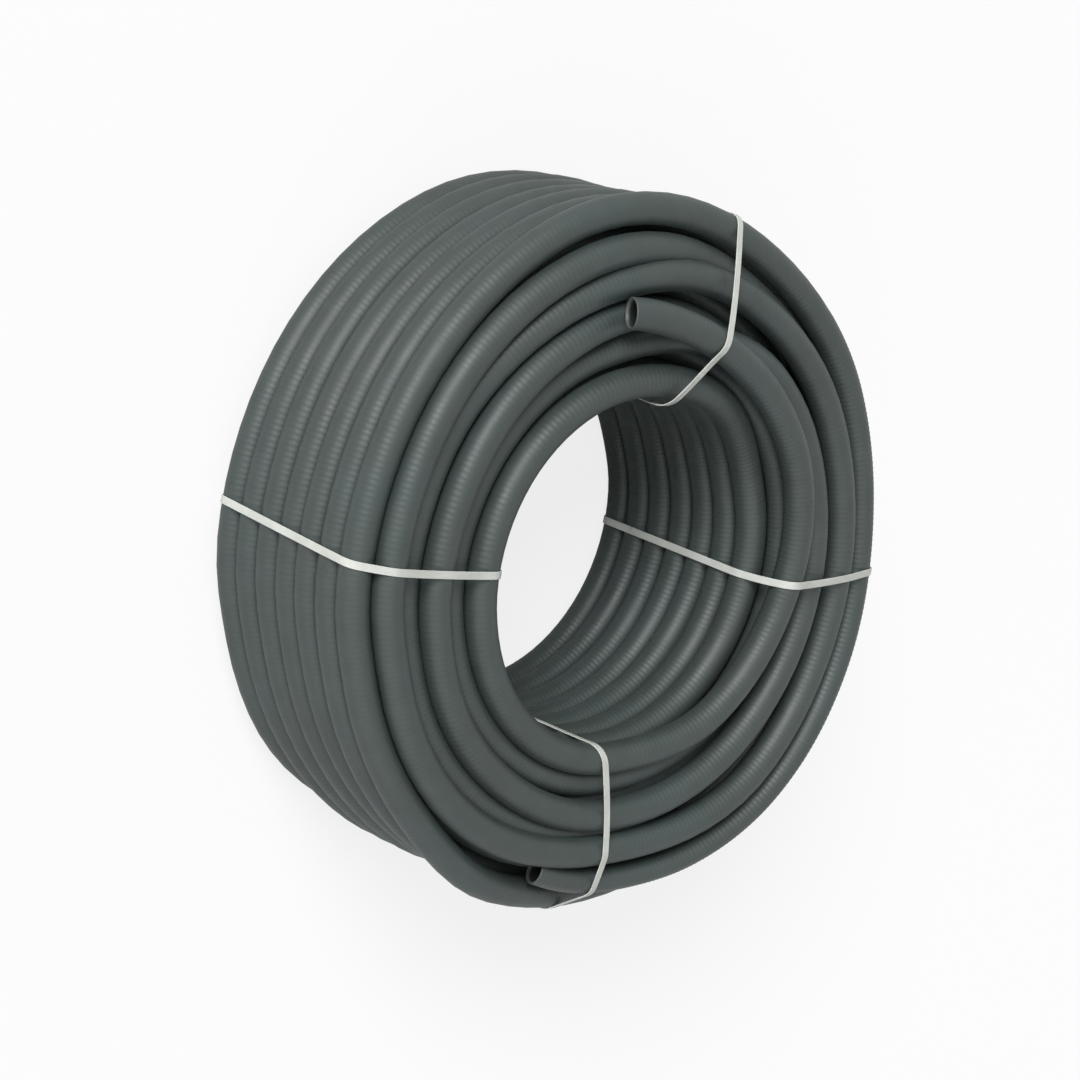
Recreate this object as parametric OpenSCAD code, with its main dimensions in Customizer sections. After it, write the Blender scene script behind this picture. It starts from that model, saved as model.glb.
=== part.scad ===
// Coil of flexible spiral conduit, tied with four flat straps, lying on its back with its front up.
// The coil is wound in nested layers. Every second layer, counted from the eye, has one row more
// and stands proud on both faces; the layers between them lie half a row back.

/* [Conduit] */
// Outside diameter of the conduit
conduit_od = 21; // [19:0.5:26]
// Bore of the conduit
conduit_bore = 16; // [10:0.5:18]

/* [Coil] */
// Clear diameter of the eye in the middle of the coil
eye_d = 231; // [180:1:300]
// Layers of turns from the eye to the rim
layer_count = 6; // [4:2:8]
// Rows of turns in a proud layer
row_count = 8; // [5:1:10]
// How far neighbouring rows press into each other
row_press = 0.1; // [0.05:0.05:0.4]
// Play left between nested layers
layer_play = 0.5; // [0:0.1:1]

/* [Inner end] */
// Angle on the front face where the inner end leaves its groove
inner_leave_angle = 62; // [30:1:70]
// Lift of the inner end away from the face, in degrees
inner_lift = 8.5; // [8:0.5:14]
// Length of the straight stretch up to the mouth
inner_straight = 100; // [80:1:130]
// Depth to which the bore is open from the mouth
inner_bore_depth = 70; // [30:1:75]

/* [Outer end] */
// Angle on the front face of the mouth of the outer end, which is the last turn of the outermost layer
outer_mouth_angle = -112; // [-120:1:-108]
// Angle past the mouth over which the last turn comes up from the row behind it
outer_rise = 60; // [50:1:75]
// Depth to which the bore is open from the mouth
outer_bore_depth = 20; // [15:1:24]

/* [Straps] */
// Width of a strap
strap_w = 5; // [3:0.5:12]
// Thickness of a strap
strap_t = 0.7; // [0.4:0.1:1.5]
// Gap between a strap and the turns it lies on
strap_gap = 0.25; // [0.1:0.05:0.5]
// Angle of the left strap
strap_left_angle = 168; // [150:1:180]
// Angle of the right strap
strap_right_angle = -13; // [-30:1:10]
// Angle of the top strap, which holds the inner end
strap_top_angle = 71; // [60:1:75]
// Angle of the bottom strap, which holds the outer end
strap_bottom_angle = -104; // [-106:1:-95]

/* [Hidden] */
$fn = 96;
conduit_r = conduit_od / 2;
bore_r = conduit_bore / 2;
row_pitch = conduit_od - row_press;
layer_pitch = row_pitch * sqrt(3) / 2 + layer_play;
// Centre distance of two stretches that lie on each other without pressing in
rest_gap = 0.3;
rest_pitch = conduit_od + rest_gap;
// Largest angle between the flats of a strap's bend
strap_facet = 6;

// Radius of the middle of a layer, counted from 0 at the eye
function layer_r(i) = eye_d / 2 + conduit_r + i * layer_pitch;
// Rows of a layer: the proud layers are the even ones
function rows_in(i) = row_count - i % 2;
// Distance of a layer's end rows from the middle of the coil
function half_span(i) = (rows_in(i) - 1) / 2 * row_pitch;

outer_layer = layer_count - 1;

// Front of the core at a layer: the outermost layer's front row is the outer end
function core_front(i) = half_span(i) - (i == outer_layer ? row_pitch : 0);

// The groove in front of a recessed layer, where the inner end lies
groove_front = half_span(1) + rest_pitch;
inner_r = layer_r(1);
// The inner end comes up from among the turns over a quarter turn before it leaves its groove
root_angle = 90;

outer_r = layer_r(outer_layer);
outer_front = half_span(outer_layer);
outer_turn = 360 - outer_rise;
// Tilt of the bend that drops one row over the rise
rise_tilt = asin(row_pitch / (outer_r * (1 - cos(outer_rise))));

// Reach of the straps behind the middle of the coil
back_reach = half_span(0) + conduit_r + strap_gap + strap_t;

// Middle of the inner end's straight stretch at an angle, raised so that a strap's edge clears it too
function inner_at(a) =
    let (past = a - inner_leave_angle)
    [inner_r / cos(past), groove_front + (inner_r * tan(past) + strap_w / 2) * tan(inner_lift)];

// Middles of the end rows of every layer, on both faces, as the straps meet them
row_ends = [for (i = [0:outer_layer]) for (side = [-1, 1]) [layer_r(i), side * half_span(i)]];

// Turn of the path from a to b to c, positive to the left
function turn(a, b, c) = (b[0] - a[0]) * (c[1] - a[1]) - (b[1] - a[1]) * (c[0] - a[0]);
// Next corner of a convex outline, walking round it with every other point on the left
function next_point(points, at) =
    let (ahead = [for (p = points) if (p != at && min([for (q = points) turn(at, p, q)]) >= 0) p])
    let (far = max([for (p = ahead) norm(p - at)]))
    [for (p = ahead) if (norm(p - at) == far) p][0];
// The outline from its lowest and outermost point on, until it comes back to the start
function outline(points, walked) =
    let (p = next_point(points, walked[len(walked) - 1]))
    p == walked[0] ? walked : outline(points, concat(walked, [p]));
function first_point(points) =
    let (low = min([for (p = points) p[1]]))
    let (far = max([for (p = points) if (p[1] == low) p[0]]))
    [far, low];

// Direction of the side of an outline that starts at its corner i
function side_angle(points, i) =
    let (side = points[(i + 1) % len(points)] - points[i])
    atan2(side[1], side[0]);
// The outline moved out by a distance, with an arc round each corner
function grown(points, distance) =
    [for (i = [0:len(points) - 1])
        let (start = side_angle(points, (i + len(points) - 1) % len(points)) - 90)
        let (sweep = (side_angle(points, i) - 90 - start + 360) % 360)
        let (steps = ceil(sweep / strap_facet))
        for (k = [0:steps])
            let (a = start + sweep * k / steps)
            points[i] + distance * [cos(a), sin(a)]];

// Lays the coil, drawn about its middle with its front up, on the straps at its back
module lie() {
    translate([0, 0, back_reach])
        children();
}

// One turn of a layer, at a height along the coil's axis
module ring(i, height) {
    rotate_extrude()
        translate([layer_r(i), height])
            circle(conduit_r);
}

// What the turns enclose, filled in, without the last turn, which is hollow
module core() {
    rotate_extrude()
        polygon(concat(
            [for (i = [0:outer_layer]) [layer_r(i), core_front(i)]],
            [for (i = [outer_layer:-1:0]) [layer_r(i), -half_span(i)]]));
}

// Moves to a point on a circle about the coil's axis, with X outward and Y along the turn
module at_turn(angle, r, height) {
    rotate([0, 0, angle])
        translate([r, 0, height])
            children();
}

// A stretch from the origin towards +Y, bent about an axis on the -X side and tilted about +Y
module bent_stretch(bend_r, angle, tilt = 0) {
    rotate([0, tilt, 0])
        translate([-bend_r, 0, 0])
            rotate_extrude(angle = angle)
                translate([bend_r, 0])
                    rotate(tilt)
                        circle(conduit_r);
}

// What is taken out of a stretch that ends at the origin and runs back towards -Y
module mouth_bore(depth) {
    translate([0, -depth, 0])
        rotate([-90, 0, 0])
            cylinder(h = depth + rest_gap, r = bore_r);
}

module coil() {
    color("darkslategray")
        lie() {
            core();
            for (i = [0:outer_layer - 1])
                for (side = [-1, 1])
                    ring(i, side * half_span(i));
            for (j = [1:rows_in(0) - 2])
                ring(0, j * row_pitch - half_span(0));
            for (j = [0:rows_in(outer_layer) - 2])
                ring(outer_layer, j * row_pitch - outer_front);
        }
}

module inner_end() {
    color("darkslategray")
        lie()
            at_turn(inner_leave_angle, inner_r, groove_front)
                rotate([inner_lift, 0, 0]) {
                    mirror([0, 1, 0])
                        bent_stretch(inner_r, root_angle);
                    difference() {
                        rotate([-90, 0, 0])
                            cylinder(h = inner_straight, r = conduit_r);
                        translate([0, inner_straight, 0])
                            mouth_bore(inner_bore_depth);
                    }
                }
}

module outer_end() {
    color("darkslategray")
        lie()
            at_turn(outer_mouth_angle - outer_rise, outer_r, outer_front) {
                bent_stretch(outer_r, outer_rise, -rise_tilt);
                mirror([0, 1, 0])
                    difference() {
                        bent_stretch(outer_r, outer_turn);
                        translate([-outer_r, 0, 0])
                            at_turn(outer_turn, outer_r, 0)
                                mouth_bore(outer_bore_depth);
                    }
            }
}

// A taut band round the turns at an angle, and round a stretch that lies in front of them there
module strap(angle, held = []) {
    points = concat(row_ends, held);
    path = outline(points, [first_point(points)]);
    color("gainsboro")
        lie()
            rotate([90, 0, angle])
                linear_extrude(strap_w, center = true)
                    difference() {
                        polygon(grown(path, conduit_r + strap_gap + strap_t));
                        polygon(grown(path, conduit_r + strap_gap));
                    }
}

module strap_left() { strap(strap_left_angle); }
module strap_right() { strap(strap_right_angle); }
module strap_top() { strap(strap_top_angle, [inner_at(strap_top_angle)]); }
module strap_bottom() { strap(strap_bottom_angle); }

coil();
inner_end();
outer_end();
strap_left();
strap_right();
strap_top();
strap_bottom();
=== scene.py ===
"""Coil of flexible spiral conduit, tied with four flat straps, on a pale studio floor.

The conduit is one swept mesh that follows a real winding: six nested layers from the eye out to the rim,
starting at one open end on the front face and finishing at the other. The straps are taut bands that are
worked out from where the winding runs. Sizes are in metres, angles in degrees, seen from the front.
"""
import bisect
import math
from collections import namedtuple

import bpy
from mathutils import Matrix, Vector
from mathutils.kdtree import KDTree


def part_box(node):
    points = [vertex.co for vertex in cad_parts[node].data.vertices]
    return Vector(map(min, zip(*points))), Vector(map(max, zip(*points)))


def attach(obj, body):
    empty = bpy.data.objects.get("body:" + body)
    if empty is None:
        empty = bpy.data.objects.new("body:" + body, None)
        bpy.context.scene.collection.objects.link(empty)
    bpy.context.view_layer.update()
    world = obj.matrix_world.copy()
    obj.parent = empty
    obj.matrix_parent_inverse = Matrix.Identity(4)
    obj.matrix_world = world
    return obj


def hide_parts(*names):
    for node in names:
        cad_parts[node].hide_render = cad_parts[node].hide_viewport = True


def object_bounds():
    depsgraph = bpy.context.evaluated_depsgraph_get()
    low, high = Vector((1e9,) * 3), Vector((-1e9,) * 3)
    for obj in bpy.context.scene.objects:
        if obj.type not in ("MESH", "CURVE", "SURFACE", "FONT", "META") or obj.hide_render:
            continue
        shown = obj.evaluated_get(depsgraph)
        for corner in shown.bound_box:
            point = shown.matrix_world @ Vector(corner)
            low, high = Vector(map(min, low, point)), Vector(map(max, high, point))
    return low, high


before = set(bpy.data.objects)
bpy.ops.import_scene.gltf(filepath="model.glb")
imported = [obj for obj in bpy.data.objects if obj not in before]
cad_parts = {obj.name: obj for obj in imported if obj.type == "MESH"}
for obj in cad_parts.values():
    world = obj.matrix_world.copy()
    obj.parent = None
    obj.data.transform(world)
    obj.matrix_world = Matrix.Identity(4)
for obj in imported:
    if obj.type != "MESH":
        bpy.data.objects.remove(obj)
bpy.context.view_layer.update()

# Conduit
CONDUIT_D = 0.021
BORE_D = 0.016
RIB_PITCH = 0.0036
RIB_DEPTH = 0.00022
RIB_BUMP = 0.00009

# Coil, placed and sized by its node in the frame
LAYERS = 6
ROWS = 8
EYE_R = 0.1155
COIL_LOW, COIL_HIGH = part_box("coil")
MIDDLE = (COIL_LOW + COIL_HIGH) / 2
RIM_R = (COIL_HIGH.x - COIL_LOW.x) / 2
ROW_PITCH = (COIL_HIGH.z - COIL_LOW.z - CONDUIT_D) / (ROWS - 1)
LAYER_PITCH = (RIM_R - EYE_R - CONDUIT_D) / (LAYERS - 1)

# Where the turns of each layer cross to the next row: the first and the last crossing of the layer.
# An angle that is 360 larger is one turn earlier. Crossings creep upstream, so no turn lies in another.
CROSS_START = [(70, 70), (90, 88), (112, 112), (132, 322), (468, 612), (635, 635)]
# Course of a crossing or a climb: degrees past its start, shares done of the way out and along the axis
EVEN_COURSE = [(0, 0, 0), (60, 1, 1)]
SLOW_COURSE = [
    (0, 0, 0), (45, 0.05, 0.9), (85, 0.5, 0.8), (130, 0.5, 0.8),
    (170, 0.6, 0.8), (210, 0.85, 0.95), (240, 1, 1),
]
# Where each layer climbs to the next one, and on which course
CLIMB = [(80, EVEN_COURSE), (100, EVEN_COURSE), (122, EVEN_COURSE), (505, SLOW_COURSE), (624, EVEN_COURSE)]

# Inner end, from its mouth to the innermost layer: angle, radius, distance in front of the coil's middle
INNER_END = [
    (97, 0.1705, 0.0905),
    (80, 0.1590, 0.0920),
    (60, 0.1495, 0.0918),
    (30, 0.1400, 0.0905),
    (0, 0.1365, 0.0850),
    (-30, 0.1335, 0.0795),
    (-60, 0.1325, 0.0760),
    (-95, 0.1260, 0.0732),
]
# Angle of the face at which the winding starts
FACE_START = INNER_END[0][0]
# Angle on the inner end up to which its ribs are modelled
INNER_RIBS_STOP = -30
# Degrees over which modelled ribs pass into bump, on both ends
RIB_FADE = 12
# Outer end, from the front row of the outermost layer to its mouth
OUTER_END = [
    (40, 0.2190, 0.0627),
    (0, 0.2175, 0.0640),
    (-30, 0.2190, 0.0685),
    (-50, 0.2195, 0.0705),
    (-75, 0.2200, 0.0685),
    (-90, 0.2175, 0.0665),
    (-111, 0.2098, 0.0655),
]
# The outer end is pressed oval by the strap: how much it loses and gains in width, and the angles between
# which that grows
OVAL = 0.15
OVAL_SPREAD = 0.04
OVAL_START = -20
OVAL_FULL = -80
# Both mouths are cut askew, longer on the front side
CUT_SLANT = math.tan(math.radians(20))
CUT_REACH = 0.016
# The wall thins out to its lip
MOUTH_FLARE = 0.0009
MOUTH_DEPTH = 0.010

# How far the eye has sunk, as seen from the front: its whole top, and its bottom at the front face
EYE_SAG_TOP = 0.0050
EYE_SAG_BOTTOM = 0.0035
# How far the front face leans back on the left
FRONT_LEAN = 0.0075
# Stretches pushed out of their rows: angle, radius and front of the middle, reach of each, outward shift
PUSHED = [
    ((-90, 0.219, 0.042), (32, 0.014, 0.018), 0.0110),
    ((-113, 0.219, 0.055), (42, 0.014, 0.018), 0.0090),
    ((82, 0.219, 0.063), (50, 0.014, 0.012), 0.0050),
    ((-90, 0.163, 0.073), (45, 0.012, 0.014), 0.0045),
    ((-98, 0.200, 0.073), (48, 0.012, 0.014), -0.0075),
]
# How far the outermost turns stand off a true circle, by angle: the coil bulges between its straps
BULGE = [
    (172, 0.0),
    (103, 0.0090),
    (52, -0.0020),
    (20, 0.0),
    (-55, 0.0105),
    (-98, -0.0020),
    (-140, -0.0040),
    (-170, -0.0038),
    (-188, 0.0),
]
# Radius at which the bulge starts, and at which it is full
BULGE_R = 0.120, 0.205
# Small aimless wave of every turn, as (size, waves a turn, phase)
WANDER_R = [(0.00035, 1.37, 0.4), (0.00025, 3.31, 2.0)]
WANDER_Z = [(0.00040, 1.63, 1.1), (0.00025, 2.87, 0.2)]

# Straps: angles on the rim at the front and at the back, in the eye likewise, how late it turns off,
# and how far it bows off the front edge of the eye
Strap = namedtuple("Strap", "on_rim in_eye late bow")
STRAPS = {
    "strap_left": Strap((168.5, 165.5), (170.5, 170.5), 1, 0.0),
    "strap_right": Strap((-12.6, -12.6), (-16.6, -13.4), 1, 0.0),
    "strap_top": Strap((67.2, 64.0), (79.0, 92.0), 2, 0.005),
    "strap_bottom": Strap((-98.5, -114.0), (-107.5, -112.0), 3, 0.0),
}
STRAP_W = 0.005
STRAP_T = 0.0007
STRAP_GAP = 0.0002
# Size of the bevel along a strap's edges, and the angle from which a corner is shaded sharp
STRAP_BEVEL = 0.00015
STRAP_SHARP = math.radians(30)
# Depth into the eye over which a strap finishes turning off
STRAP_BEND = 0.030
# Distance from the eye's edge over which a strap bows off it
STRAP_BOW = 0.045
# Fineness of the straps: between points on a straight run and in a bend
STRAP_STEP = 0.003
STRAP_ARC_STEP = math.radians(8)
# Rounds of finding where a strap crosses a turn, of lifting one point, and of lifting and smoothing a strap
CROSS_ROUNDS = 4
LIFT_ROUNDS = 3
STRAP_ROUNDS = 8

# Fineness of the conduit's mesh
SIDES = 18
TURN_STEP = 4.5
RIB_STEP = RIB_PITCH / 4
BORE_DEPTH = 0.09
BORE_STEP = 0.004
# Degrees to each side over which the conduit's direction is taken
TANGENT_STEP = 0.05
# Degrees between the points of the centre line that straps are lifted from
CENTRE_STEP = 0.3

# Conduit's look: noises as (scale, detail), colours by the value of a noise, bumps as heights
DRIFT_NOISE = 9, 3
DRIFT_TONES = [(0.30, (0.028, 0.036, 0.032)), (0.50, (0.029, 0.041, 0.038)), (0.70, (0.031, 0.047, 0.045))]
CHALK_NOISE = 70, 6
CHALK_SHARE = 0.5
CHALK_COLOUR = 0.061, 0.074, 0.070
# Painted shade: the bore's wall is given a darker colour than the plastic outside
BORE_SHADE_COLOUR = 0.02, 0.022, 0.022
# Painted highlight: the cut lips of both mouths are given a paler colour than the plastic
CUT_HIGHLIGHT_COLOUR = 0.085, 0.093, 0.09
# Value of the cut_edge mark from which the painted highlight on the cut shows
CUT_LIMIT = 0.6
ROUGH_NOISE = 40, 4
ROUGHNESS = 0.42, 0.62
GRAIN_NOISE = 900, 3
GRAIN_BUMP = 0.00006

# Straps' look, embossed in small diamonds
STRAP_NOISE = 60, 4
STRAP_TONES = [(0.3, (0.52, 0.54, 0.50)), (0.7, (0.64, 0.66, 0.62))]
STRAP_ROUGHNESS = 0.42
EMBOSS_CELL = 0.0016
EMBOSS_BUMP = 0.00012

# Floor: half its width, its look, and the share of it that the camera sees as plain white
FLOOR_REACH = 12
FLOOR_COLOUR = 0.9, 0.9, 0.9
FLOOR_ROUGHNESS = 0.9
FLOOR_SPECULAR = 0.1
FLOOR_GLOW = 0.8

# Strength of the surroundings as light on the object, and lamps as (name, power, spread, direction)
AMBIENT = 0.23
LAMPS = [("key", 3.3, 30, (0.55, -0.78, -0.62)), ("fill", 0.9, 90, (0.65, 0.3, -0.6))]

# Camera, from the photograph's frame of 1080 pixels
FRAME_PX = 1080
FOCAL_PX = 3135
MIDDLE_PX = (559.6, 540.4)
CAMERA_AZIMUTH = -42.34
CAMERA_ELEVATION = 17.65
CAMERA_ROLL = 0.72
CAMERA_DISTANCE = 2.059
SENSOR_MM = 36


def rows_in(layer):
    return ROWS - layer % 2


def seat(layer, row):
    """Radius and distance in front of the middle of a row, with row 0 at the front."""
    radius = EYE_R + CONDUIT_D / 2 + layer * LAYER_PITCH
    return radius, ((rows_in(layer) - 1) / 2 - row) * ROW_PITCH


def winding():
    """Stations of the winding as (degrees turned, radius, distance in front of the middle)."""
    stations = [(FACE_START - angle, r, z) for angle, r, z in INNER_END]
    seats = []
    crossings = []
    for layer in range(LAYERS):
        rows = list(range(rows_in(layer)))
        if layer % 2:
            rows.reverse()
        seats += [seat(layer, row) for row in rows]
        first, last = CROSS_START[layer]
        steps = len(rows) - 1
        crossings += [(first + (last - first) * k / (steps - 1), EVEN_COURSE) for k in range(steps)]
        crossings += CLIMB[layer:layer + 1]
    for k, (angle, course) in enumerate(crossings):
        turned = FACE_START + 360 * (k + 1) - angle
        for past, *done in course:
            here = [a + (b - a) * share for a, b, share in zip(seats[k], seats[k + 1], done)]
            stations.append((turned + past, *here))
    for angle, r, z in OUTER_END:
        now = FACE_START - stations[-1][0]
        stations.append((stations[-1][0] + (now - angle) % 360, r, z))
    return stations


STATIONS = winding()
TURNED = [station[0] for station in STATIONS]


def slope(k, column):
    """Slope at a station that lets the curve run through it with no overshoot."""
    if k in (0, len(STATIONS) - 1):
        a, b = (STATIONS[0], STATIONS[1]) if k == 0 else (STATIONS[-2], STATIONS[-1])
        return (b[column] - a[column]) / (b[0] - a[0])
    before, at, after = STATIONS[k - 1:k + 2]
    left = (at[column] - before[column]) / (at[0] - before[0])
    right = (after[column] - at[column]) / (after[0] - at[0])
    return 0.0 if left * right <= 0 else 2 * left * right / (left + right)


SLOPES = [(slope(k, 1), slope(k, 2)) for k in range(len(STATIONS))]


def wander(waves, turned):
    return sum(size * math.sin(math.radians(turned) * rate + phase) for size, rate, phase in waves)


def clamped(t):
    return min(max(t, 0.0), 1.0)


def cubic(t):
    return t * t * (3 - 2 * t)


def smooth_step(t):
    return cubic(clamped(t))


def swell(distance, reach):
    """One at the middle, falling smoothly to nothing at the reach."""
    return math.cos(math.pi / 2 * min(1.0, abs(distance) / reach)) ** 2


def bulge(angle, radius):
    """How far a turn stands off a true circle at an angle."""
    start, full = BULGE_R
    share = clamped((radius - start) / (full - start))
    first = BULGE[0][0]
    at = first - (first - angle) % 360
    for (a, low), (b, high) in zip(BULGE, BULGE[1:]):
        if b <= at <= a:
            return share * (low + (high - low) * smooth_step((a - at) / (a - b)))


def settled(angle, radius, front):
    """Radius and front of a turn after the coil has settled out of round."""
    (inner, span), outer = seat(0, 0), seat(LAYERS - 1, 0)[0]
    frontness = (front + span) / (2 * span)
    high = math.sin(math.radians(angle))
    sag = EYE_SAG_TOP * high if high > 0 else EYE_SAG_BOTTOM * high * frontness
    shift = bulge(angle, radius) - sag * (outer - radius) / (outer - inner)
    for (at, at_radius, at_front), (reach, radius_reach, front_reach), size in PUSHED:
        away = (angle - at + 180) % 360 - 180
        shift += (size * swell(away, reach) * swell(radius - at_radius, radius_reach)
                  * swell(front - at_front, front_reach))
    lean = FRONT_LEAN * frontness * (1 - math.cos(math.radians(angle))) / 2
    return radius + shift, front - lean


def section_at(turned):
    """Radius and distance in front of the middle, after so many degrees of winding."""
    k = min(max(bisect.bisect_right(TURNED, turned) - 1, 0), len(STATIONS) - 2)
    a, b = STATIONS[k], STATIONS[k + 1]
    span = b[0] - a[0]
    t = (turned - a[0]) / span
    out = []
    for column in (1, 2):
        value = a[column] + (b[column] - a[column]) * cubic(t)
        value += span * t * (1 - t) ** 2 * SLOPES[k][column - 1]
        value -= span * t * t * (1 - t) * SLOPES[k + 1][column - 1]
        out.append(value)
    radius, front = settled(FACE_START - turned, *out)
    return radius + wander(WANDER_R, turned), front + wander(WANDER_Z, turned)


def place(angle, radius, front):
    """Point of the frame at an angle of the face, a radius and a distance in front of the middle."""
    a = math.radians(angle)
    return MIDDLE + Vector((radius * math.cos(a), radius * math.sin(a), front))


def path_point(turned):
    return place(FACE_START - turned, *section_at(turned))


def stretches():
    """Degrees turned at every ring of the conduit, close together along the two loose ends."""
    inner_stop = FACE_START - INNER_RIBS_STOP
    outer_start = TURNED[-len(OUTER_END)]
    rings = [0.0]
    while rings[-1] < TURNED[-1]:
        ribbed = rings[-1] < inner_stop or rings[-1] >= outer_start
        step = math.degrees(RIB_STEP / section_at(rings[-1])[0]) if ribbed else TURN_STEP
        rings.append(rings[-1] + step)
    rings[-1] = TURNED[-1]
    return rings, inner_stop, outer_start


def ring_frame(turned):
    """Centre of a ring with its outward, frontward and onward directions, square to each other."""
    low, high = max(turned - TANGENT_STEP, 0.0), min(turned + TANGENT_STEP, TURNED[-1])
    along = (path_point(high) - path_point(low)).normalized()
    centre = path_point(turned)
    out = centre - MIDDLE
    out.z = 0
    out = (out - along * out.dot(along)).normalized()
    return centre, out, along.cross(out), along


def turned_at_end(angle):
    """Degrees turned where the outer end passes an angle of the face."""
    return TURNED[-1] - (angle - OUTER_END[-1][0])


OVAL_TURNED = turned_at_end(OVAL_START), turned_at_end(OVAL_FULL)


def slant_at(turned):
    """How far a ring leans along the conduit for its height, next to a mouth."""
    from_start = math.radians(turned) * INNER_END[0][1]
    from_stop = math.radians(TURNED[-1] - turned) * OUTER_END[-1][1]
    return CUT_SLANT * (smooth_step(1 - from_stop / CUT_REACH) - smooth_step(1 - from_start / CUT_REACH))


def add_object(name, data):
    obj = bpy.data.objects.new(name, data)
    bpy.context.collection.objects.link(obj)
    return obj


def add_marks(mesh, marks):
    """Stores values at the mesh's points, for its material to read."""
    for name, values in marks.items():
        mesh.attributes.new(name, "FLOAT", "POINT").data.foreach_set("value", values)


class Tube:
    """Vertices and faces of the conduit's mesh, gathered ring by ring."""

    def __init__(self):
        self.verts = []
        self.faces = []
        self.marks = {"along": [], "rib_bump": [], "bore_wall": [], "cut_edge": []}

    def ring(self, turned, radius, **marks):
        """Adds a ring of the conduit or of its bore, oval or askew where it has to be."""
        centre, out, side, along = ring_frame(turned)
        oval = smooth_step((turned - OVAL_TURNED[0]) / (OVAL_TURNED[1] - OVAL_TURNED[0]))
        slant = slant_at(turned)
        first = len(self.verts)
        for k in range(SIDES):
            a = 2 * math.pi * k / SIDES
            outward = radius * math.cos(a) * (1 - OVAL * oval)
            frontward = radius * math.sin(a) * (1 + OVAL_SPREAD * oval)
            self.verts.append(centre + outward * out + frontward * (side + slant * along))
        for name, values in self.marks.items():
            values += [marks.get(name, 0.0)] * SIDES
        return first

    def join(self, a, b):
        for k in range(SIDES):
            n = (k + 1) % SIDES
            self.faces.append((a + k, a + n, b + n, b + k))

    def cap(self, first, flip):
        loop = list(range(first, first + SIDES))
        self.faces.append(tuple(reversed(loop)) if flip else tuple(loop))


def add_bore(tube, rings, outer_first, at_start):
    """Cut face and bore at one end of the conduit, closed deep inside."""
    sample = rings if at_start else rings[::-1]
    depth = 0.0
    reach = []
    last_point = path_point(sample[0])
    next_depth = 0.0
    for turned in sample:
        point = path_point(turned)
        depth += (point - last_point).length
        last_point = point
        if depth >= next_depth:
            reach.append((turned, depth))
            next_depth = depth + BORE_STEP
        if depth > BORE_DEPTH:
            break
    before = outer_first
    for turned, deep in reach:
        edge = 1.0 if before == outer_first else 0.0
        inside = BORE_D / 2 + MOUTH_FLARE * max(0.0, 1 - deep / MOUTH_DEPTH)
        now = tube.ring(turned, inside, along=deep, bore_wall=1.0 - edge, cut_edge=edge)
        if at_start:
            tube.join(now, before)
        else:
            tube.join(before, now)
        before = now
    tube.cap(before, not at_start)


def make_conduit():
    """The whole conduit as one closed mesh, with its ribs modelled along both loose ends."""
    rings, inner_stop, outer_start = stretches()
    tube = Tube()
    length = 0.0
    path = []
    before = None
    first_ring = None
    for turned in rings:
        centre = path_point(turned)
        if path:
            length += (centre - path[-1]).length
        path.append(centre)
        inner = smooth_step((inner_stop - turned) / RIB_FADE)
        outer = smooth_step((turned - outer_start) / RIB_FADE)
        shaped = max(inner, outer)
        rib = 0.5 - 0.5 * math.cos(2 * math.pi * length / RIB_PITCH)
        radius = CONDUIT_D / 2 - RIB_DEPTH * shaped * rib
        edge = 1.0 if turned in (rings[0], rings[-1]) else 0.0
        now = tube.ring(turned, radius, along=length, rib_bump=1.0 - shaped, cut_edge=edge)
        if before is None:
            first_ring = now
        else:
            tube.join(before, now)
        before = now
    add_bore(tube, rings, first_ring, True)
    add_bore(tube, rings, before, False)

    mesh = bpy.data.meshes.new("conduit")
    mesh.from_pydata(tube.verts, [], tube.faces)
    add_marks(mesh, tube.marks)
    mesh.shade_smooth()
    return add_object("conduit", mesh), path, length


def hull(points):
    """Corners of the convex outline of flat points, anticlockwise."""
    points = sorted(set(points))

    def half(sequence):
        chain = []
        for p in sequence:
            while len(chain) > 1:
                (ax, ay), (bx, by) = chain[-2:]
                if (bx - ax) * (p[1] - ay) - (by - ay) * (p[0] - ax) > 0:
                    break
                chain.pop()
            chain.append(p)
        return chain[:-1]

    return half(points) + half(points[::-1])


def strap_angle(strap, radius, front):
    """Angle of a band at a radius and a front: it slants on rim and eye, and turns off between them."""
    span = seat(0, 0)[1]
    back = clamped((span - front) / (2 * span))
    slants = strap.on_rim, strap.in_eye
    rim, eye = (at_front + (at_back - at_front) * back for at_front, at_back in slants)
    outer = seat(LAYERS - 1, 0)[0]
    depth = min(max(span + CONDUIT_D - front, 0.0), STRAP_BEND)
    way = (outer - radius + depth / 2) / (outer - EYE_R + STRAP_BEND / 2)
    return rim + (eye - rim) * clamped(way) ** strap.late


def strap_line(strap):
    """Points along the inside of a taut band and the way each one faces, as (radius, front) pairs."""
    crossed = []
    for turn in range(math.ceil(TURNED[-1] / 360) + 1):
        angle = strap.on_rim[0]
        for _ in range(CROSS_ROUNDS):
            turned = (FACE_START - angle) % 360 + 360 * turn
            radius, front = section_at(turned)
            angle = strap_angle(strap, radius, front)
        if turned <= TURNED[-1]:
            crossed.append((radius, front))
    corners = [Vector(p) for p in hull(crossed)]
    away = CONDUIT_D / 2 + STRAP_GAP
    line = []
    for k, corner in enumerate(corners):
        into = corner - corners[k - 1]
        onto = corners[(k + 1) % len(corners)] - corner
        start = math.atan2(into.y, into.x) - math.pi / 2
        sweep = (math.atan2(onto.y, onto.x) - math.pi / 2 - start) % (2 * math.pi)
        steps = max(1, math.ceil(sweep / STRAP_ARC_STEP))
        for i in range(steps + 1):
            a = start + sweep * i / steps
            facing = Vector((math.cos(a), math.sin(a)))
            line.append((corner + away * facing, facing))
        run = int(onto.length / STRAP_STEP)
        for i in range(1, run):
            line.append((corner + onto * (i / run) + away * facing, facing))
    return line


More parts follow.
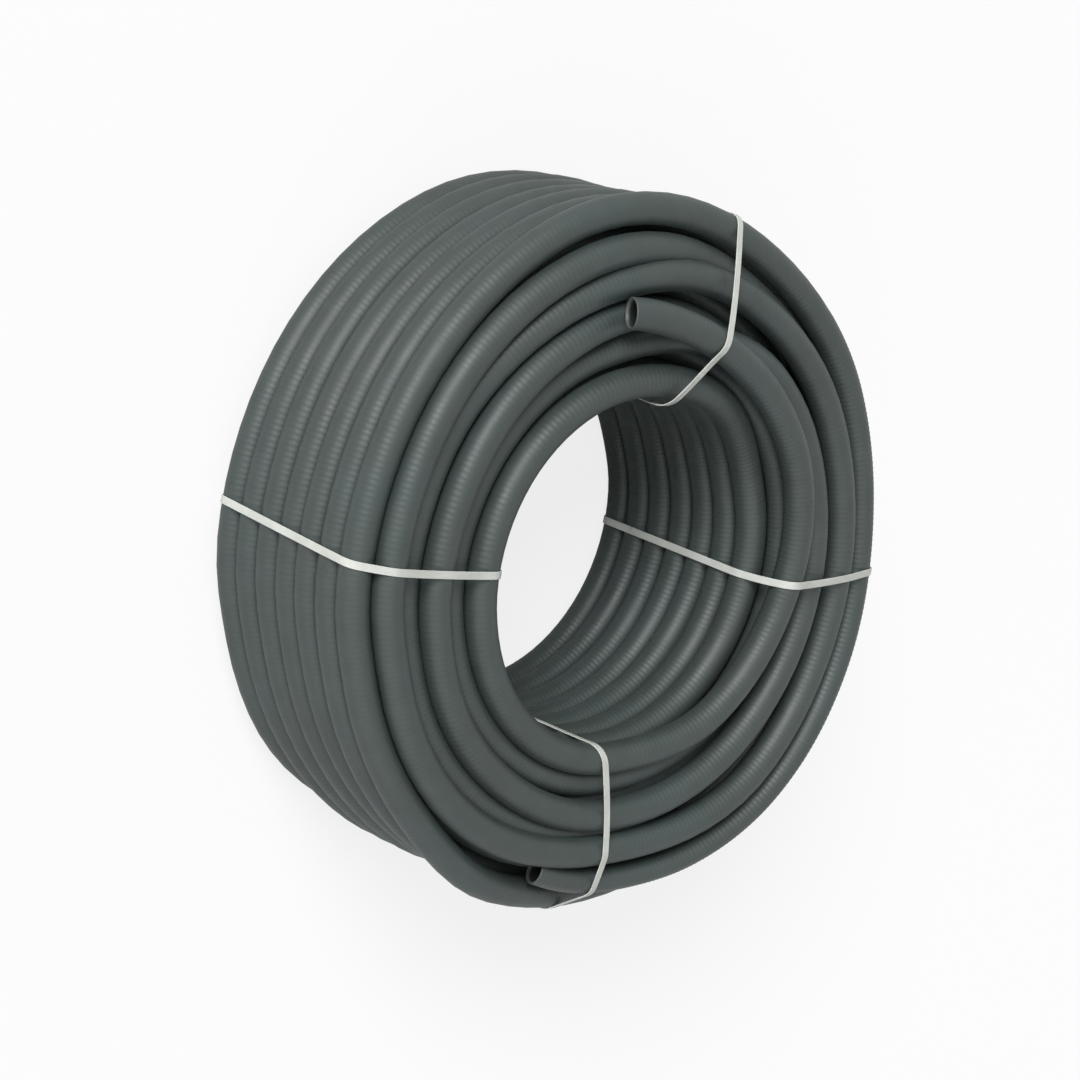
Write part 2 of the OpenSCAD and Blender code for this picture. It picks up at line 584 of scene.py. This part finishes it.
def centre_tree():
    """The conduit's centre line as close points, for measuring how far a strap stays off it."""
    count = int(TURNED[-1] / CENTRE_STEP)
    tree = KDTree(count)
    for k in range(count):
        tree.insert(path_point(k * CENTRE_STEP), k)
    tree.balance()
    return tree


def band_frame(bases, facings, k):
    """One point of a band with the ways that it faces and runs across."""
    onward = bases[(k + 1) % len(bases)] - bases[k - 1]
    across = onward.cross(facings[k]).normalized()
    return bases[k], across.cross(onward).normalized(), across


def lifted(frame, tree):
    """A point of a band, raised off the turns."""
    base, up, across = frame
    for _ in range(LIFT_ROUNDS):
        nearest = min(tree.find(base + w * across)[2] for w in (-STRAP_W / 2, 0, STRAP_W / 2))
        base = base + up * max(0.0, CONDUIT_D / 2 + STRAP_GAP - nearest)
    return base


def strap_frames(strap, tree):
    """Points of a band with the ways they face and run across, off the turns and bowed off the eye."""
    bases = []
    facings = []
    for point, facing in strap_line(strap):
        angle = strap_angle(strap, point.x, point.y)
        a = math.radians(angle)
        bases.append(place(angle, point.x, point.y))
        facings.append(Vector((facing.x * math.cos(a), facing.x * math.sin(a), facing.y)))
    for _ in range(STRAP_ROUNDS):
        raised = [lifted(band_frame(bases, facings, k), tree) for k in range(len(bases))]
        bases = [(raised[k - 1] + 2 * at + raised[(k + 1) % len(raised)]) / 4
                 for k, at in enumerate(raised)]
    bowed = []
    for base, up, across in (band_frame(bases, facings, k) for k in range(len(bases))):
        off = base - MIDDLE
        from_edge = math.hypot(math.hypot(off.x, off.y) - EYE_R, off.z - seat(0, 0)[1])
        bowed.append((base + up * strap.bow * swell(from_edge, STRAP_BOW), up, across))
    return bowed


def make_strap(name, strap, tree):
    """A flat band with bevelled edges, taut round the turns."""
    half_w = STRAP_W / 2
    near_w, near_t = half_w - STRAP_BEVEL, STRAP_T - STRAP_BEVEL
    outline = [
        (-near_w, 0.0), (near_w, 0.0), (half_w, STRAP_BEVEL), (half_w, near_t),
        (near_w, STRAP_T), (-near_w, STRAP_T), (-half_w, near_t), (-half_w, STRAP_BEVEL),
    ]
    verts = []
    along = []
    travelled = 0.0
    frames = strap_frames(strap, tree)
    for k, (base, up, across) in enumerate(frames):
        travelled += (base - frames[k - 1][0]).length if k else 0.0
        verts += [base + w * across + t * up for w, t in outline]
        along += [travelled] * len(outline)
    size = len(outline)
    faces = []
    for k in range(len(frames)):
        here, there = k * size, (k + 1) % len(frames) * size
        for i in range(size):
            j = (i + 1) % size
            faces.append((here + i, here + j, there + j, there + i))
    mesh = bpy.data.meshes.new(name)
    mesh.from_pydata(verts, [], faces)
    add_marks(mesh, {"along": along, "across": [w for w, _ in outline] * len(frames)})
    mesh.shade_smooth()
    mesh.set_sharp_from_angle(angle=STRAP_SHARP)
    return add_object(f"{name}_band", mesh)


def new_material(name):
    """A material with its node tree and its shader."""
    material = bpy.data.materials.new(name)
    material.use_nodes = True
    tree = material.node_tree
    return material, tree, tree.nodes["Principled BSDF"]


def math_node(tree, operation, *values):
    node = tree.nodes.new("ShaderNodeMath")
    node.operation = operation
    for socket, value in zip(node.inputs, values):
        if isinstance(value, (int, float)):
            socket.default_value = value
        else:
            tree.links.new(value, socket)
    return node.outputs[0]


def attribute(tree, name):
    node = tree.nodes.new("ShaderNodeAttribute")
    node.attribute_name = name
    return node.outputs["Fac"]


def noise(tree, scale, detail):
    node = tree.nodes.new("ShaderNodeTexNoise")
    node.inputs["Scale"].default_value = scale
    node.inputs["Detail"].default_value = detail
    place_on_object = tree.nodes.new("ShaderNodeTexCoord").outputs["Object"]
    tree.links.new(place_on_object, node.inputs["Vector"])
    return node.outputs["Fac"]


def ramp(tree, factor, stops):
    node = tree.nodes.new("ShaderNodeValToRGB")
    elements = node.color_ramp.elements
    while len(elements) < len(stops):
        elements.new(0.5)
    for element, (position, colour) in zip(elements, stops):
        element.position = position
        element.color = (*colour, 1)
    tree.links.new(factor, node.inputs["Fac"])
    return node.outputs["Color"]


def tinted(tree, factor, below, colour):
    """A colour laid over what is below it, by a factor."""
    node = tree.nodes.new("ShaderNodeMix")
    node.data_type = "RGBA"
    tree.links.new(factor, node.inputs[0])
    tree.links.new(below, node.inputs[6])
    node.inputs[7].default_value = (*colour, 1)
    return node.outputs[2]


def add_bump(tree, shader, height):
    """Bumps a shader by a height in metres."""
    bump = tree.nodes.new("ShaderNodeBump")
    bump.inputs["Strength"].default_value = 1
    bump.inputs["Distance"].default_value = 1
    tree.links.new(height, bump.inputs["Height"])
    tree.links.new(bump.outputs["Normal"], shader.inputs["Normal"])


def conduit_material():
    """Satin dark grey plastic, finely ribbed across, with a drift between bluish and brownish grey."""
    material, tree, shader = new_material("conduit_plastic")
    colour = ramp(tree, noise(tree, *DRIFT_NOISE), DRIFT_TONES)
    chalk = math_node(tree, "MULTIPLY", noise(tree, *CHALK_NOISE), CHALK_SHARE)
    colour = tinted(tree, chalk, colour, CHALK_COLOUR)
    # Painted shade darkens the bore's wall inside both mouths
    colour = tinted(tree, attribute(tree, "bore_wall"), colour, BORE_SHADE_COLOUR)
    # Painted highlight on the cut lips of both mouths
    edge = math_node(tree, "GREATER_THAN", attribute(tree, "cut_edge"), CUT_LIMIT)
    colour = tinted(tree, edge, colour, CUT_HIGHLIGHT_COLOUR)
    tree.links.new(colour, shader.inputs["Base Color"])
    rough = tree.nodes.new("ShaderNodeMapRange")
    tree.links.new(noise(tree, *ROUGH_NOISE), rough.inputs["Value"])
    rough.inputs["To Min"].default_value, rough.inputs["To Max"].default_value = ROUGHNESS
    tree.links.new(rough.outputs["Result"], shader.inputs["Roughness"])
    around = math_node(tree, "MULTIPLY", attribute(tree, "along"), 2 * math.pi / RIB_PITCH)
    ribs = math_node(tree, "MULTIPLY", math_node(tree, "SINE", around), attribute(tree, "rib_bump"))
    grain = noise(tree, *GRAIN_NOISE)
    add_bump(tree, shader, math_node(tree, "ADD", math_node(tree, "MULTIPLY", ribs, RIB_BUMP / 2),
                                     math_node(tree, "MULTIPLY", grain, GRAIN_BUMP)))
    return material


def strap_material():
    """Pale embossed polypropylene."""
    material, tree, shader = new_material("strap_plastic")
    along = attribute(tree, "along")
    across = attribute(tree, "across")
    waves = []
    for sign in (1, -1):
        slant = math_node(tree, "ADD", along, math_node(tree, "MULTIPLY", across, sign))
        waves.append(math_node(tree, "SINE", math_node(tree, "MULTIPLY", slant, 2 * math.pi / EMBOSS_CELL)))
    diamonds = math_node(tree, "MULTIPLY", *waves)
    tone = ramp(tree, noise(tree, *STRAP_NOISE), STRAP_TONES)
    tree.links.new(tone, shader.inputs["Base Color"])
    shader.inputs["Roughness"].default_value = STRAP_ROUGHNESS
    add_bump(tree, shader, math_node(tree, "MULTIPLY", diamonds, EMBOSS_BUMP))
    return material


def make_floor(height):
    """A white floor that keeps a light shadow."""
    mesh = bpy.data.meshes.new("floor")
    corners = [(-1, -1), (1, -1), (1, 1), (-1, 1)]
    mesh.from_pydata([(x * FLOOR_REACH, y * FLOOR_REACH, height) for x, y in corners], [], [(0, 1, 2, 3)])
    floor = add_object("floor", mesh)
    material, tree, shader = new_material("floor_paint")
    shader.inputs["Base Color"].default_value = (*FLOOR_COLOUR, 1)
    shader.inputs["Roughness"].default_value = FLOOR_ROUGHNESS
    shader.inputs["Specular IOR Level"].default_value = FLOOR_SPECULAR
    glow = tree.nodes.new("ShaderNodeEmission")
    glow.inputs["Color"].default_value = (1, 1, 1, 1)
    blend = tree.nodes.new("ShaderNodeMixShader")
    paths = tree.nodes.new("ShaderNodeLightPath")
    share = math_node(tree, "MULTIPLY", paths.outputs["Is Camera Ray"], FLOOR_GLOW)
    tree.links.new(share, blend.inputs["Fac"])
    tree.links.new(shader.outputs["BSDF"], blend.inputs[1])
    tree.links.new(glow.outputs["Emission"], blend.inputs[2])
    tree.links.new(blend.outputs["Shader"], tree.nodes["Material Output"].inputs["Surface"])
    mesh.materials.append(material)


def make_light():
    """White surroundings and two soft lamps, the stronger above the camera and the weaker below it."""
    world = bpy.data.worlds.new("studio")
    bpy.context.scene.world = world
    world.use_nodes = True
    tree = world.node_tree
    back = tree.nodes["Background"]
    paths = tree.nodes.new("ShaderNodeLightPath")
    seen = paths.outputs["Is Camera Ray"]
    for kind in ("Is Glossy Ray", "Is Transmission Ray"):
        seen = math_node(tree, "MAXIMUM", seen, paths.outputs[kind])
    strength = math_node(tree, "ADD", math_node(tree, "MULTIPLY", seen, 1 - AMBIENT), AMBIENT)
    tree.links.new(strength, back.inputs["Strength"])
    back.inputs["Color"].default_value = (1, 1, 1, 1)
    for name, power, spread, towards in LAMPS:
        lamp = bpy.data.lights.new(name, "SUN")
        lamp.energy = power
        lamp.angle = math.radians(spread)
        obj = add_object(name, lamp)
        obj.rotation_mode = "QUATERNION"
        obj.rotation_quaternion = Vector(towards).to_track_quat("-Z", "Y")


def make_camera():
    """Camera at the photograph's angle to the front, turned so that the frame's +Y is up in the picture."""
    a, e = math.radians(CAMERA_AZIMUTH), math.radians(CAMERA_ELEVATION)
    back = Vector((math.sin(a) * math.cos(e), math.sin(e), math.cos(a) * math.cos(e)))
    right = Vector((0, 1, 0)).cross(back).normalized()
    data = bpy.data.cameras.new("camera")
    data.sensor_width = SENSOR_MM
    data.lens = FOCAL_PX / FRAME_PX * SENSOR_MM
    data.shift_x = (FRAME_PX / 2 - MIDDLE_PX[0]) / FRAME_PX
    data.shift_y = (MIDDLE_PX[1] - FRAME_PX / 2) / FRAME_PX
    camera = add_object("camera", data)
    turn = Matrix((right, back.cross(right), back)).transposed().to_4x4()
    roll = Matrix.Rotation(math.radians(CAMERA_ROLL), 4, "Z")
    camera.matrix_world = Matrix.Translation(MIDDLE + back * CAMERA_DISTANCE) @ turn @ roll
    bpy.context.scene.camera = camera


conduit, centreline, conduit_length = make_conduit()
conduit.data.materials.append(conduit_material())
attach(conduit, "root")
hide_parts("coil", "inner_end", "outer_end")

band_material = strap_material()
measured = centre_tree()
for strap_name, strap_course in STRAPS.items():
    band = make_strap(strap_name, strap_course, measured)
    band.data.materials.append(band_material)
    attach(band, "root")
    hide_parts(strap_name)

shown_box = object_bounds()
make_floor(min(0.0, shown_box[0].z))
make_light()
make_camera()
bpy.context.scene.view_settings.view_transform = "Standard"
